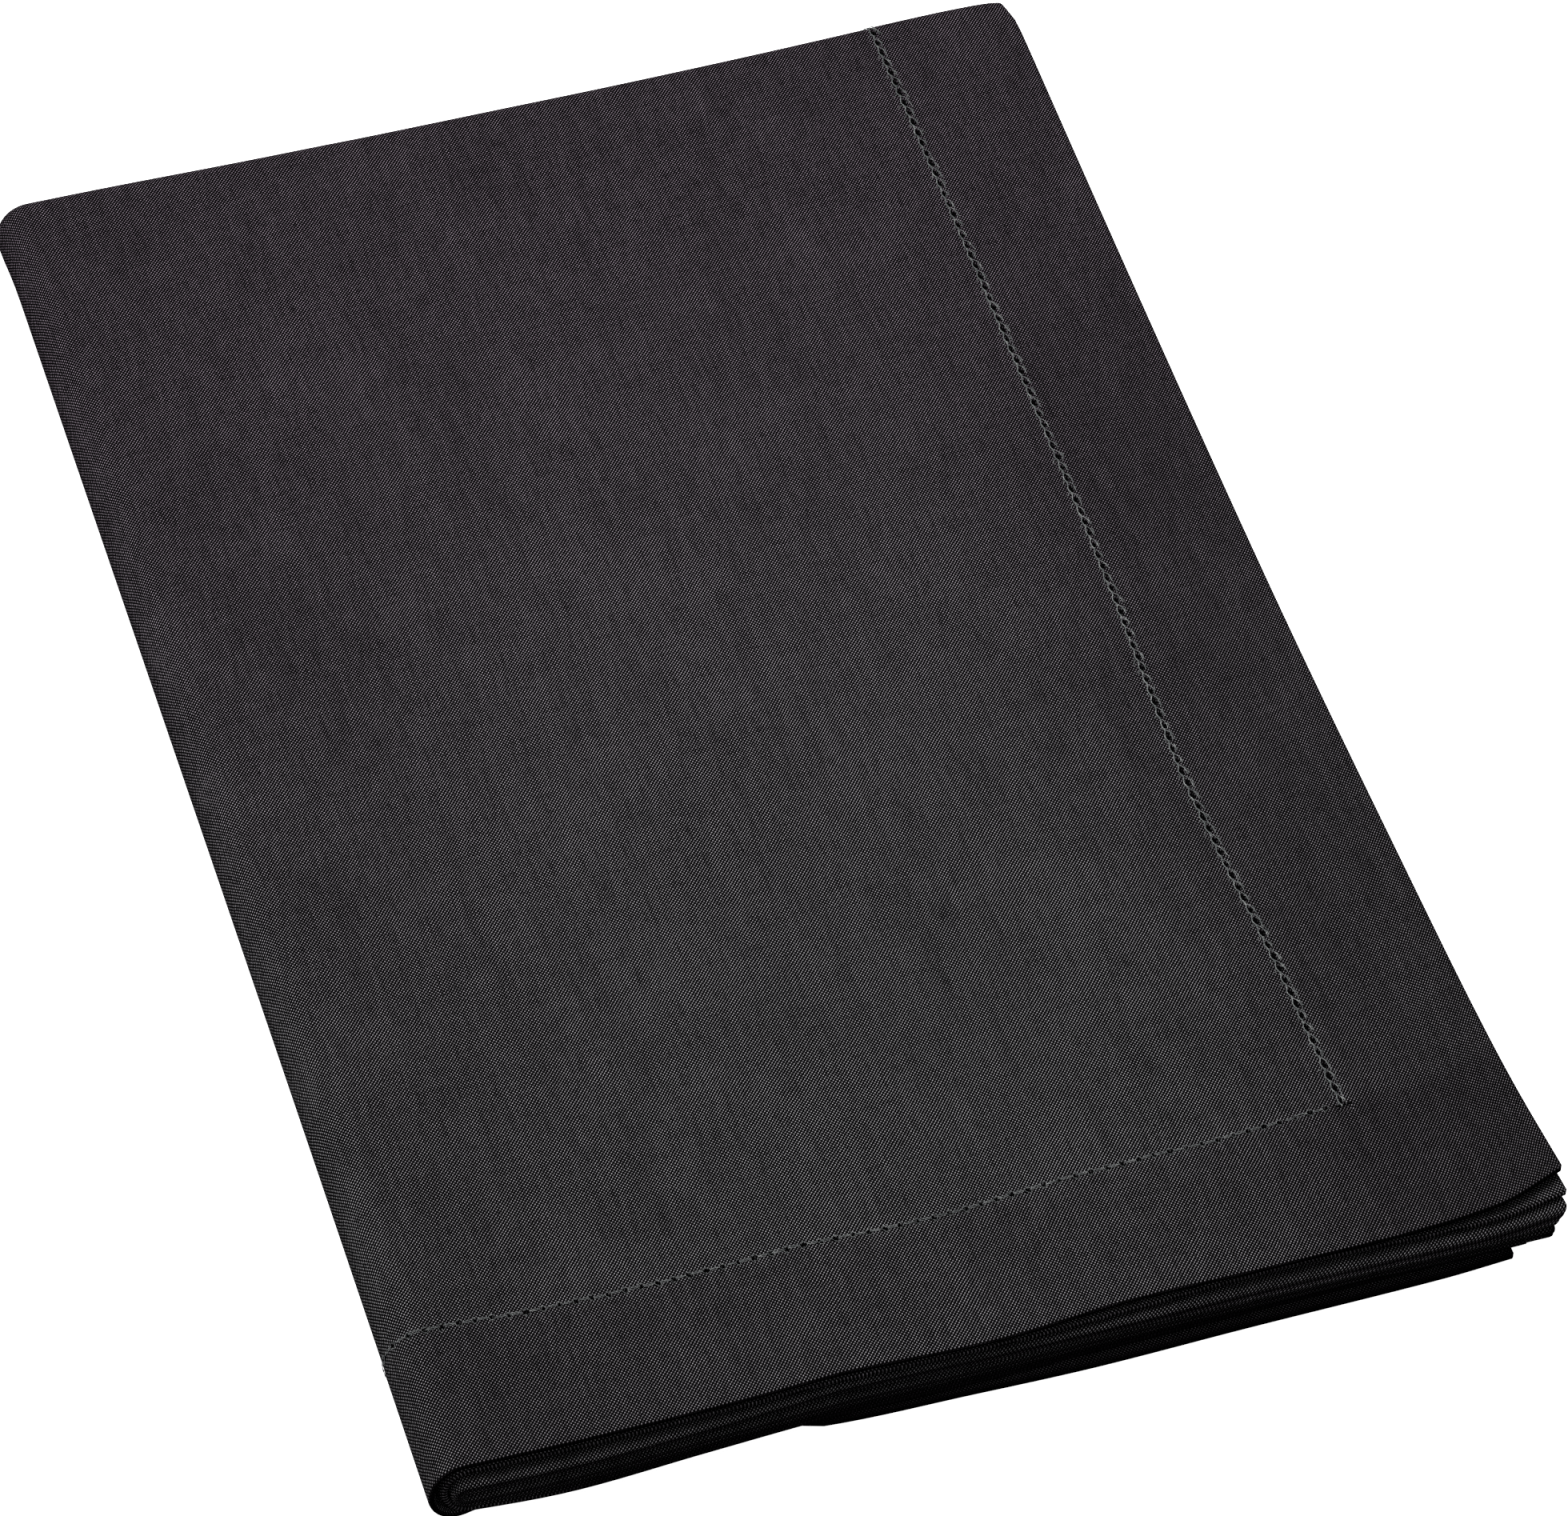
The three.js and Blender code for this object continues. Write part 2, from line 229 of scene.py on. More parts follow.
def cloth_middle(u, v):
    """Middle of the cloth at u across and v along it. The run that v falls in gives the ply and
    the share of the way to the far end, and a fold adds a half ellipse. u gives the share of the
    way from the open side to the doubled side, where the cloth turns on a circle about half the
    stack's height. Near edge, far end and both sides come from the stations above. Then the height
    is multiplied by the loft, the top ply gets its lift and creases, and the far corners move."""
    u, v = np.broadcast_arrays(np.asarray(u, float), np.asarray(v, float))
    place = np.clip(np.searchsorted(run_starts, v, side="right") - 1, 0, len(runs) - 1)
    run = runs[place]
    t = (v - run_starts[place]) / run["length"]
    plies_passed = np.abs(run["next_ply"] - run["ply"])
    angle = np.where(plies_passed > 0, np.pi * t, 0)
    passed = 0.5 - 0.5 * np.cos(angle)
    along = mix(run["start"], run["end"], t)
    reach = np.sin(angle) * 0.5 * plies_passed * PLY_PITCH * FOLD_REACH * (2 * run["start"] - 1)
    depth = mix(run["ply"], run["next_ply"], passed)
    weights = [
        (run["ply"] == ply) * (1 - passed) + (run["next_ply"] == ply) * passed
        for ply in range(PLIES)
    ]

    stops = [0, FLAT_HALF, FLAT_HALF + TURN_LENGTH, CLOTH_WIDTH]
    across = np.interp(u, stops, [0, 1, 1, 0])
    turn = np.interp(u, stops, [0, 0, np.pi, np.pi])
    upper = 0.5 + 0.5 * np.cos(turn)
    radius = HALF_STACK - depth * PLY_PITCH
    slack = sum(weight * short for weight, short in zip(weights, TURN_SLACK))
    turn_base = TURN_X + slack - radius * np.sin(turn)
    rough_x = mix(OPEN_SIDE_X, turn_base, across)

    def on_halves(places, lower_values, upper_values, at):
        """Stations of every ply, by the ply's weight, from the lower half to the upper one."""
        return sum(
            weight * mix(along_stations(places, low, at), along_stations(places, high, at), upper)
            for weight, low, high in zip(weights, lower_values, upper_values)
        )

    near_y = NEAR_LINE_Y + on_halves(ACROSS_AT_X, near_lower, near_upper, rough_x)
    inner_short = sum(weight * short for weight, short in zip(weights, INNER_FOLD_SHORT))
    far_y = FAR_END_Y + along_stations(ACROSS_AT_X, FAR_SKEW, rough_x)
    far_y = far_y - OUTER_FOLD_REACH - inner_short - LOWER_FOLD_SHORT * (1 - upper)
    y = mix(near_y, far_y, along) + reach
    turn_x = turn_base + along_stations(ALONG_AT_Y, DOUBLED_DRIFT, y)
    open_x = OPEN_SIDE_X + on_halves(ALONG_AT_Y, open_lower, open_upper, y)
    x = mix(open_x, turn_x, across)
    height = HALF_STACK + radius * np.cos(turn)
    top_ply = np.maximum(1 - depth, 0)
    corner = CORNER_LIFT * fade(x - OPEN_SIDE_X, CORNER_LIFT_REACH)
    wave = NEAR_WAVE * np.sin(2 * np.pi * x / NEAR_WAVE_LENGTH)
    near_lift = (corner + wave) * fade(y - NEAR_LINE_Y, NEAR_LIFT_REACH) * upper
    creased = bumps(x, y, CREASES) * (turn == 0)
    z = SOLID_HALF + height * loft(x, y) + (near_lift + creased) * top_ply
    rounded = bumps(x, y, FAR_OPEN_CORNER)
    full = bumps(x, y, FAR_DOUBLED_CORNER)
    moved_x = x - MIDDLE_X - rounded - full
    moved_y = y - MIDDLE_Y - FAR_OPEN_CORNER_NEARER * rounded
    return np.stack([moved_x, moved_y, z], axis=-1)


def cloth_normal(u, v):
    """Outward direction: the cross product of short steps along and across the sheet."""
    step = 0.05
    along = cloth_middle(u, v + step) - cloth_middle(u, v - step)
    across = cloth_middle(u + step, v) - cloth_middle(u - step, v)
    normal = np.cross(along, across)
    return normal / np.linalg.norm(normal, axis=-1, keepdims=True)


# Thicknesses from the middle to the outer and the inner face, in one layer and in the hems. A hem
# begins over the range of HEM_STEP about its line, and its lip is rounded off down to a thin end.
OUTER_BODY = 0.6
INNER_BODY = 0.2
OUTER_HEM = 0.75
INNER_HEM = 0.85
HEM_STEP = (-1.2, 2.4)
LIP_ROUNDING = 0.85
LIP_END_SQUARED = 0.004


def edge_distance(u, v):
    """Flat distance to the nearest edge of the cloth."""
    return np.minimum(np.minimum(u, CLOTH_WIDTH - u), np.minimum(v, CLOTH_LENGTH - v))


def side_line_u(v):
    """Where the stitched line of the upper half's open side lies across the cloth."""
    return HEM_WIDTH - along_stations(SIDE_DRIFT_AT_V, SIDE_DRIFT, v)


def near_line_v(u):
    """Where the stitched line of the top hem lies along the cloth."""
    return HEM_WIDTH - along_stations(NEAR_DRIFT_AT_U, NEAR_DRIFT, u)


def past_hem(u, v):
    """Flat distance from the nearest hem's inner line, positive in the body of the cloth."""
    sides = np.minimum(u - side_line_u(v), CLOTH_WIDTH - HEM_WIDTH - u)
    ends = np.minimum(v - near_line_v(u), CLOTH_LENGTH - HEM_WIDTH - v)
    return np.minimum(sides, ends)


def face_heights(u, v):
    """Heights of the outer and the inner face over the middle: one layer in the body and three in
    the hems, rounded off as a quarter circle at the lips."""
    edge = edge_distance(u, v)
    hem = 1 - smooth_step(*HEM_STEP, past_hem(u, v))
    from_full = 1 - np.clip(edge / LIP_ROUNDING, 0, 1)
    rounding = np.sqrt(np.clip(1 - from_full**2, LIP_END_SQUARED, 1))
    outer = mix(OUTER_BODY, OUTER_HEM, hem) * rounding
    inner = -mix(INNER_BODY, INNER_HEM, hem) * rounding
    return outer, inner


# Shares by which parts of the cloth's colour are darkened, mostly as painted shade, and the
# ranges over which each comes or goes: from a stitched line, from the doubled side, from the far
# end, or from the cloth's edge.
NEAR_HEM_SHADE = 0.15
NEAR_HEM_RANGE = (-2.5, 1.5)
SIDE_HEM_SHADE = 0.30
SIDE_HEM_RANGE = (-10, 40)
DOUBLED_SHADE = 0.15
DOUBLED_RISE = (-90, -10)
DOUBLED_END = (-4, 6)
SIDES_LOST_FAR = 0.95
SIDES_LOST_RANGE = (-170, -20)
FAR_SHADE = 0.10
FAR_RANGE = (-220, -80)
# The lips carry painted shade, the shade between the plies, and on the lower half a wider painted
# contact shadow.
LIP_SHADE = 0.85
SECOND_LIP_LIGHTER = 0.5
LIP_START = 0.05
LIP_WIDTH = 0.5
LOWER_LIP_WIDER = 2.5
LOWER_HALF_RISE = 30


def cloth_shade(u, v):
    """Share by which the cloth's colour is darkened, a sum of S-shaped steps, most of it painted
    shade. The near hem steps up at its line: partly its three dense layers, partly painted shade.
    The open side, partly so too, and the doubled side rise softly as painted shade, and fade again
    towards the far end, which has a little painted shade as a whole. The lips have the darkest
    painted shade, the shade between the plies, widely so on the lower half as painted contact
    shadow, and less so on the second hem of the upper half."""
    near_hem = NEAR_HEM_SHADE * (1 - smooth_step(*NEAR_HEM_RANGE, v - near_line_v(u)))
    side_hem = SIDE_HEM_SHADE * (1 - smooth_step(*SIDE_HEM_RANGE, u - side_line_u(v)))
    from_turn = u - FLAT_HALF
    doubled = smooth_step(*DOUBLED_RISE, from_turn) * (1 - smooth_step(*DOUBLED_END, from_turn))
    sides = side_hem + DOUBLED_SHADE * doubled
    sides = sides * (1 - SIDES_LOST_FAR * smooth_step(*SIDES_LOST_RANGE, v - FLAT_PLY))
    far_end = FAR_SHADE * smooth_step(*FAR_RANGE, v - FLAT_PLY)
    lower = smooth_step(0, LOWER_HALF_RISE, from_turn - TURN_LENGTH)
    second = (1 - lower) * (v > CLOTH_LENGTH - HEM_WIDTH)
    lip = 1 - smooth_step(LIP_START, LIP_WIDTH + LOWER_LIP_WIDER * lower, edge_distance(u, v))
    return near_hem + sides + far_end + (LIP_SHADE - SECOND_LIP_LIGHTER * second) * lip


def woven_place(u, v):
    """Where a point of the outer face lies in the weave. A half turn makes that face longer than
    the middle by pi times its height, so v grows by that with each fold passed. The doubled side
    of an inner ply is a shorter turn, so u shrinks by pi times the ply's depth under the top. The
    inner runs show only at their near folds, so one depth, of two plies, serves them all."""
    half_turns = np.interp(v, run_starts[1:5], [0, 1, 1, 2])
    depth = np.interp(v, run_starts[[1, 2, 5, 6]], [0, 2, 2, 1])
    turned = np.clip((u - FLAT_HALF) / TURN_LENGTH, 0, 1)
    woven_u = u + np.pi * (OUTER_BODY - depth * PLY_PITCH) * turned
    woven_v = v + np.pi * OUTER_BODY * half_turns
    return woven_u, woven_v


def cloth_point(u, v, height):
    """Point at a height over the cloth's middle."""
    return cloth_middle(u, v) + cloth_normal(u, v) * np.asarray(height)[..., None]


def make_mesh(name, points, quads, triangles=None):
    """A mesh of quads, and of triangles after them, from whole arrays."""
    triangles = np.zeros((0, 3), int) if triangles is None else triangles
    mesh = bpy.data.meshes.new(name)
    mesh.vertices.add(len(points))
    mesh.vertices.foreach_set("co", (points * METRES).astype(np.float32).ravel())
    corners = np.concatenate([quads.ravel(), triangles.ravel()]).astype(np.int32)
    quad_starts = np.arange(len(quads)) * 4
    triangle_starts = quads.size + np.arange(len(triangles)) * 3
    starts = np.concatenate([quad_starts, triangle_starts]).astype(np.int32)
    mesh.loops.add(len(corners))
    mesh.loops.foreach_set("vertex_index", corners)
    mesh.polygons.add(len(quads) + len(triangles))
    mesh.polygons.foreach_set("loop_start", starts)
    mesh.update(calc_edges=True)
    mesh.shade_smooth()
    return mesh


def shell_quads(rows, columns):
    """Quads of a closed shell whose outer grid comes first and whose inner grid follows it."""
    at = np.arange(rows * columns).reshape(rows, columns)
    under = at + rows * columns

    def strip(a, b, c, d):
        """Quads whose four corners come from four equal grids, in order round each quad."""
        return np.stack([a.ravel(), b.ravel(), c.ravel(), d.ravel()], axis=1)

    return np.concatenate(
        [
            strip(at[:-1, :-1], at[1:, :-1], at[1:, 1:], at[:-1, 1:]),
            strip(under[:-1, :-1], under[:-1, 1:], under[1:, 1:], under[1:, :-1]),
            strip(at[:-1, 0], under[:-1, 0], under[1:, 0], at[1:, 0]),
            strip(at[1:, -1], under[1:, -1], under[:-1, -1], at[:-1, -1]),
            strip(at[0, 1:], under[0, 1:], under[0, :-1], at[0, :-1]),
            strip(at[-1, :-1], under[-1, :-1], under[-1, 1:], at[-1, 1:]),
        ]
    )


def make_shell(name, u, v, outer, inner, marks):
    """A closed sheet between two heights over the cloth, with its place in the weave as its own
    map, and with named values at its points."""
    faces = [cloth_point(u, v, height).reshape(-1, 3) for height in (outer, inner)]
    mesh = make_mesh(name, np.concatenate(faces), shell_quads(*u.shape))
    corner = np.empty(len(mesh.loops), np.int32)
    mesh.loops.foreach_get("vertex_index", corner)
    woven = np.stack(woven_place(u, v), axis=-1).reshape(-1, 2)
    woven = np.tile(woven, (2, 1))[corner].astype(np.float32)
    mesh.uv_layers.new(name="flat_cloth").data.foreach_set("uv", woven.ravel())
    for mark, values in marks.items():
        attribute = mesh.attributes.new(mark, "FLOAT", "POINT")
        attribute.data.foreach_set("value", np.tile(values.ravel(), 2).astype(np.float32))
    piece = bpy.data.objects.new(name, mesh)
    bpy.context.scene.collection.objects.link(piece)
    return piece


# The sheet's grid. Its points stand close at the lips, at the trough under a stitched line and
# round the folds, and further apart on the flat. Each count is a number of points.
TROUGH_DEPTH = 0.75
TROUGH_WALL = (1.6, 2.5)
TROUGH_REACH = (-4, 5)
LIP_POINTS = 6
HEM_POINTS = 14
BODY_POINTS_ACROSS = 46
TURN_POINTS = 22
TOP_PLY_POINTS = 76
LAST_PLY_POINTS = 30
INNER_RUN_POINTS = [20, 30, 12, 30, 10]
past_lip = 1.6
before_trough = HEM_WIDTH + TROUGH_REACH[0]
past_trough = HEM_WIDTH + TROUGH_REACH[1]
lip = LIP_ROUNDING * (1 - np.cos(np.linspace(0, np.pi / 2, LIP_POINTS)))
trough = HEM_WIDTH + np.array([-3.0, -2.5, -2.1, -1.6, 0, 1.6, 2.1, 2.5, 3.0])
hem_stations = np.concatenate([lip, np.linspace(past_lip, before_trough, HEM_POINTS), trough])
body_across = np.linspace(past_trough, FLAT_HALF - 2, BODY_POINTS_ACROSS)
half_width = np.concatenate([hem_stations, body_across])
turning = FLAT_HALF + np.linspace(0, TURN_LENGTH, TURN_POINTS)
sheet_u = np.concatenate([half_width, turning, (CLOTH_WIDTH - half_width)[::-1]])
top_ply = np.linspace(past_trough, FLAT_PLY, TOP_PLY_POINTS, endpoint=False)
last_ply = np.linspace(past_trough, FLAT_PLY, LAST_PLY_POINTS)
last_ply = np.concatenate([hem_stations, last_ply])
inner_runs = [
    np.linspace(run_starts[number], run_starts[number + 1], count, endpoint=False)
    for number, count in enumerate(INNER_RUN_POINTS, start=1)
]
sheet_v = np.concatenate([hem_stations, top_ply, *inner_runs, (CLOTH_LENGTH - last_ply)[::-1]])
sheet_v, sheet_u = np.meshgrid(sheet_v, sheet_u, indexing="ij")

# The sheet's four corners are rounded: each small square there is drawn in to a quarter disc.
CORNER_ROUNDING = 1.5
from_side = np.minimum(sheet_u, CLOTH_WIDTH - sheet_u)
from_end = np.minimum(sheet_v, CLOTH_LENGTH - sheet_v)
to_side = np.clip(1 - from_side / CORNER_ROUNDING, 0, 1)
to_end = np.clip(1 - from_end / CORNER_ROUNDING, 0, 1)
inward_u = CORNER_ROUNDING * to_side * (1 - np.sqrt(1 - 0.5 * to_end**2))
inward_v = CORNER_ROUNDING * to_end * (1 - np.sqrt(1 - 0.5 * to_side**2))
sheet_u = sheet_u + np.where(sheet_u < FLAT_HALF, inward_u, -inward_u)
sheet_v = sheet_v + np.where(sheet_v < FLAT_PLY, inward_v, -inward_v)

# Inside the hems, the rows of points bend with the stitched lines.
side_pull = np.clip(1 - np.abs(sheet_u / HEM_WIDTH - 1), 0, 1)
near_pull = np.clip(1 - np.abs(sheet_v / HEM_WIDTH - 1), 0, 1)
pulled_u = sheet_u - side_pull * (HEM_WIDTH - side_line_u(sheet_v))
sheet_v = sheet_v - near_pull * (HEM_WIDTH - near_line_v(sheet_u))
sheet_u = pulled_u
sheet_outer, sheet_inner = face_heights(sheet_u, sheet_v)

# Under each stitched line that shows, the face sinks into a trough that the line's band fills. The
# lines show on the top ply with its far fold, and on that fold of the lower half.
line_distance = np.abs(past_hem(sheet_u, sheet_v))
shows_along = sheet_v < run_starts[2] + 1
on_top = shows_along & (sheet_u < FLAT_HALF + TURN_LENGTH + 1)
behind = shows_along & (sheet_v > FLAT_PLY - 3)
in_trough = (1 - smooth_step(*TROUGH_WALL, line_distance)) * (on_top | behind)
sheet_outer = sheet_outer - TROUGH_DEPTH * in_trough

# The near fold of each half's two inner plies is pressed in along its middle, and painted shade
# darkens that groove.
PRESS_REACH = 0.5
PRESS_DEPTH = 0.7
PRESS_SHADE = 0.75
pressed = fade(sheet_v - 0.5 * (run_starts[3] + run_starts[4]), PRESS_REACH)
sheet_outer = sheet_outer - PRESS_DEPTH * pressed
sheet_shade = cloth_shade(sheet_u, sheet_v) + PRESS_SHADE * pressed
cloth = make_shell("cloth", sheet_u, sheet_v, sheet_outer, sheet_inner, {"shade": sheet_shade})


class Field:
    """A value that changes over a surface. Sums and products of it add Math nodes."""

    def __init__(self, tree, socket):
        self.tree = tree
        self.socket = socket

    def node(self, kind, settings=None, sockets=None, output=0):
        """Any node: its type, its settings, then the values or links of its sockets."""
        made = self.tree.nodes.new(kind)
        for name, value in (settings or {}).items():
            setattr(made, name, value)
        for name, value in (sockets or {}).items():
            if isinstance(value, Field):
                self.tree.links.new(value.socket, made.inputs[name])
            else:
                made.inputs[name].default_value = value
        return Field(self.tree, made.outputs[output])

    def maths(self, operation, a, b=0.0):
        """One Math node on one or two values."""
        return self.node("ShaderNodeMath", {"operation": operation}, {0: a, 1: b})

    def __add__(self, other):
        return self.maths("ADD", self, other)

    __radd__ = __add__

    def __sub__(self, other):
        return self.maths("SUBTRACT", self, other)

    def __rsub__(self, other):
        return self.maths("SUBTRACT", other, self)

    def __mul__(self, other):
        return self.maths("MULTIPLY", self, other)

    __rmul__ = __mul__

    def __abs__(self):
        return self.maths("ABSOLUTE", self)

    def cosine(self):
        """The cosine of an angle in radians."""
        return self.maths("COSINE", self)

    def rounded(self):
        """The nearest whole number."""
        return self.maths("ROUND", self)

    def between(self, low, high):
        """0 below low and 1 above high, with an S-shaped rise between them."""
        return self.node(
            "ShaderNodeMapRange",
            {"interpolation_type": "SMOOTHSTEP"},
            {"Value": self, "From Min": low, "From Max": high},
        )

    def place(self, x, y):
        """A vector from two fields."""
        return self.node("ShaderNodeCombineXYZ", sockets={"X": x, "Y": y})

    def parts(self, vector):
        """The first two parts of a vector, as two fields."""
        split = self.node("ShaderNodeSeparateXYZ", sockets={"Vector": vector})
        return split, Field(self.tree, split.socket.node.outputs["Y"])

    def noise(self, x, y, scale, detail=2.0):
        """Soft noise at a place on the surface, about 0, from -0.5 to 0.5."""
        made = self.node(
            "ShaderNodeTexNoise",
            {"noise_dimensions": "2D"},
            {"Vector": self.place(x, y), "Scale": scale, "Detail": detail, "Roughness": 0.55},
        )
        return made - 0.5

    def chance(self, x, y):
        """A number from 0 to 1 that differs from place to place without any pattern."""
        place = self.place(x, y)
        return self.node("ShaderNodeTexWhiteNoise", {"noise_dimensions": "2D"}, {"Vector": place})

    def blend(self, a, b, factor):
        """Colours a to b by a factor."""
        made = self.tree.nodes.new("ShaderNodeMix")
        made.data_type = "RGBA"
        for socket, value in ((made.inputs[0], factor), (made.inputs[6], a), (made.inputs[7], b)):
            if isinstance(value, Field):
                self.tree.links.new(value.socket, socket)
            else:
                socket.default_value = value
        return Field(self.tree, made.outputs[2])


def new_material(name):
    """A material with its surface shader, and a field to work its patterns out from."""
    material = bpy.data.materials.new(name)
    material.use_nodes = True
    tree = material.node_tree
    tree.nodes.clear()
    shader = tree.nodes.new("ShaderNodeBsdfPrincipled")
    output = tree.nodes.new("ShaderNodeOutputMaterial")
    tree.links.new(shader.outputs[0], output.inputs["Surface"])
    return material, shader, Field(tree, None)


def grey(value, tint=(1.0, 1.0, 1.0)):
    """A colour of one brightness, with a slight tint."""
    return (value * tint[0], value * tint[1], value * tint[2], 1.0)


# Charcoal plain weave: one thread over and one under, 24 to the centimetre across and 21.5 along.
# The threads that run along the cloth show as bright dots where they pass over: the yarn's grey
# with painted sheen, the light those floats catch. The others stay dim, and the gaps between
# threads are painted shade, near black. Both kinds vary in thickness and tone, and the yarn is
# slubby.
WARP_PITCH = 0.42
WEFT_PITCH = 0.465
# The first colour is painted shade, near black, for the gaps between threads and the holes; the bright
# ones are the yarn's grey with painted sheen.
GAP_SHADE = grey(0.001, (1.0, 0.96, 1.04))
DIM_YARN = grey(0.003, (1.04, 0.92, 1.04))
YARN_AND_SHEEN = grey(0.22, (1.00, 0.985, 1.02))
PURPLE_YARN_AND_SHEEN = grey(0.22, (1.07, 0.88, 1.06))
DOT_RANGE = (0.15, 0.90)
DIM_RANGE = (0.05, 0.9)
RELIEF = 0.10
# Each spread is how far a noise moves its value, and each scale is the noise's waves to the
# millimetre. The drift is in threads.
THREAD_DRIFT = 0.9
WARP_DRIFT_SCALE = 0.16
WEFT_DRIFT_SCALE = 0.13
MEAN_LEAN = 0.60
LEAN_SPREAD = 0.25
LEAN_SCALE = 0.04
SLUB_SCALE = 0.11
DOT_BRIGHTNESS = 0.72
DOT_SPREAD = 0.4
WARP_SLUB_SPREAD = 1.1
WEFT_SLUB_SPREAD = 0.5
DIM_SLUB_SPREAD = 1.2
PATCH_SPREAD = 0.25
PATCH_SCALE = 0.05
STREAK_SPREAD = 0.55
STREAK_SCALE = 0.30
STREAK_DETAIL = 3.0
SPECK_DEPTH = 0.7
SPECK_SCALE = 0.5
SPECK_RANGE = (0.26, 0.34)
# Lengthwise, a pattern is stretched by squeezing its place along the cloth to this share.
PATCH_SQUEEZE = 0.3
STREAK_SQUEEZE = 0.08
SPECK_SQUEEZE = 0.6
# The dots turn from grey to purple grey along the cloth, in metres, and where shade is painted.
PURPLE_RANGE = (-0.14, 0.24)
PURPLE_MEAN = 0.75
PURPLE_SPREAD = 0.5
PURPLE_IN_SHADE = 0.8

weave, weave_shader, field = new_material("charcoal_weave")
flat_u, flat_v = field.parts(field.node("ShaderNodeUVMap", {"uv_map": "flat_cloth"}))
_, object_y = field.parts(field.node("ShaderNodeTexCoord", output="Object"))
# The cloth's painted shade: it darkens the dots and turns them purple grey.
shade = field.node("ShaderNodeAttribute", {"attribute_name": "shade"}, output="Fac")
hole = field.node("ShaderNodeAttribute", {"attribute_name": "hole"}, output="Fac")

# warp and weft are the number of threads up to a place, across and along. Their sum and their
# difference give one cosine each. A weighted mean of the two is 1 in a crossing where the warp
# passes over, and -1 where it passes under. More weight on the first draws the dots out aslant.
warp = flat_u * (1 / WARP_PITCH) + field.noise(flat_u, flat_v, WARP_DRIFT_SCALE) * THREAD_DRIFT
weft = flat_v * (1 / WEFT_PITCH) + field.noise(flat_u, flat_v, WEFT_DRIFT_SCALE) * THREAD_DRIFT
leaning = ((warp + weft) * np.pi).cosine()
crossing = ((warp - weft) * np.pi).cosine()
lean = MEAN_LEAN + LEAN_SPREAD * field.noise(flat_u, flat_v, LEAN_SCALE)
over = leaning * lean + crossing * (1.0 - lean)

# Each thread has its own slubs, and each dot its own brightness and tint. The factors 7.3, 5.7
# and 1.37 set neighbouring threads far apart in the noise.
warp_number = warp.rounded()
weft_number = weft.rounded()
warp_slub = field.noise(warp_number * 7.3, flat_v, SLUB_SCALE)
weft_slub = field.noise(weft_number * 5.7, flat_u, SLUB_SCALE)
dot_chance = field.chance(warp_number, weft_number)
tint_chance = field.chance(warp_number * 1.37, weft_number)
dot_share = (
    DOT_BRIGHTNESS
    + DOT_SPREAD * dot_chance
    + WARP_SLUB_SPREAD * warp_slub
    + WEFT_SLUB_SPREAD * weft_slub
)
dot_purple = PURPLE_MEAN + PURPLE_SPREAD * tint_chance
purple = object_y.between(*PURPLE_RANGE) * dot_purple + PURPLE_IN_SHADE * shade
dot_yarn_and_sheen = field.blend(YARN_AND_SHEEN, PURPLE_YARN_AND_SHEEN, purple)
dimness = (0.0 - over).between(*DIM_RANGE) * (1.0 + DIM_SLUB_SPREAD * weft_slub)
under_colour = field.blend(GAP_SHADE, DIM_YARN, dimness)

# Over that lie wide soft patches, long thin streaks of uneven dyeing and small dark specks.
patches = field.noise(flat_u, flat_v * PATCH_SQUEEZE, PATCH_SCALE)
streaks = field.noise(flat_u, flat_v * STREAK_SQUEEZE, STREAK_SCALE, STREAK_DETAIL)
specks = field.noise(flat_u, flat_v * SPECK_SQUEEZE, SPECK_SCALE).between(*SPECK_RANGE)
mottle = 1.0 + PATCH_SPREAD * patches + STREAK_SPREAD * streaks
mottle = mottle * (1.0 - SPECK_DEPTH * specks)
# The painted sheen of the dots is dimmed where shade is painted.
brightness = over.between(*DOT_RANGE) * dot_share * mottle * (1.0 - shade)
colour = field.blend(under_colour, dot_yarn_and_sheen, brightness)
# The holes are painted near black, as painted shade in them.
colour = field.blend(colour, GAP_SHADE, hole)
height = abs(over) * (1.0 - hole)
bump = field.node(
    "ShaderNodeBump",
    sockets={"Height": height, "Distance": RELIEF * METRES, "Strength": 1.0},
)
field.tree.links.new(colour.socket, weave_shader.inputs["Base Color"])
field.tree.links.new(bump.socket, weave_shader.inputs["Normal"])
weave_shader.inputs["Roughness"].default_value = 0.85
weave_shader.inputs["Specular IOR Level"].default_value = 0.0

cloth.data.materials.append(weave)
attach(cloth, "root")
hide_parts("folded_cloth")

# The hemstitched bands
# Strips of the same cloth along the two stitched lines, where threads were drawn out and the rest
# pulled together: a row of holes, teardrops on the side line and small round ones on the near line.
BAND_HALF = 3.0
BAND_THICKNESS = 0.08
BAND_STEP = 0.28
# Each long edge dips under the cloth's face over its last stretch.
EDGE_DIP = 0.09
EDGE_STRETCH = 0.5
# The whole band is drawn in a little along its line.
DRAWN_DEPTH = 0.10
DRAWN_REACH = 1.2
SIDE_PITCH = 3.5
NEAR_PITCH = 3.6
PITCH_SPREAD = 0.10
SIDE_WANDER = 0.06
NEAR_WANDER = 0.08
SIZE_RANGE = (0.78, 1.22)
# A hole's half length, half width and taper, its depth, and the range over which its wall rises,
# as shares of the way from its middle to its rim.
SIDE_HOLE = (1.2, 0.66, 0.4)
NEAR_HOLE = (0.75, 0.60, 0.0)
PIT_DEPTH = 0.55
PIT_WALL = (0.55, 1.15)
# The side line starts this far past the near hem's line. The near line goes round the doubled side
# for this share of its turn, after which it no longer shows.
SIDE_START = 0.6
NEAR_BAND_START = 1.2
NEAR_LINE_TURN = 0.86
rng = np.random.default_rng(7)


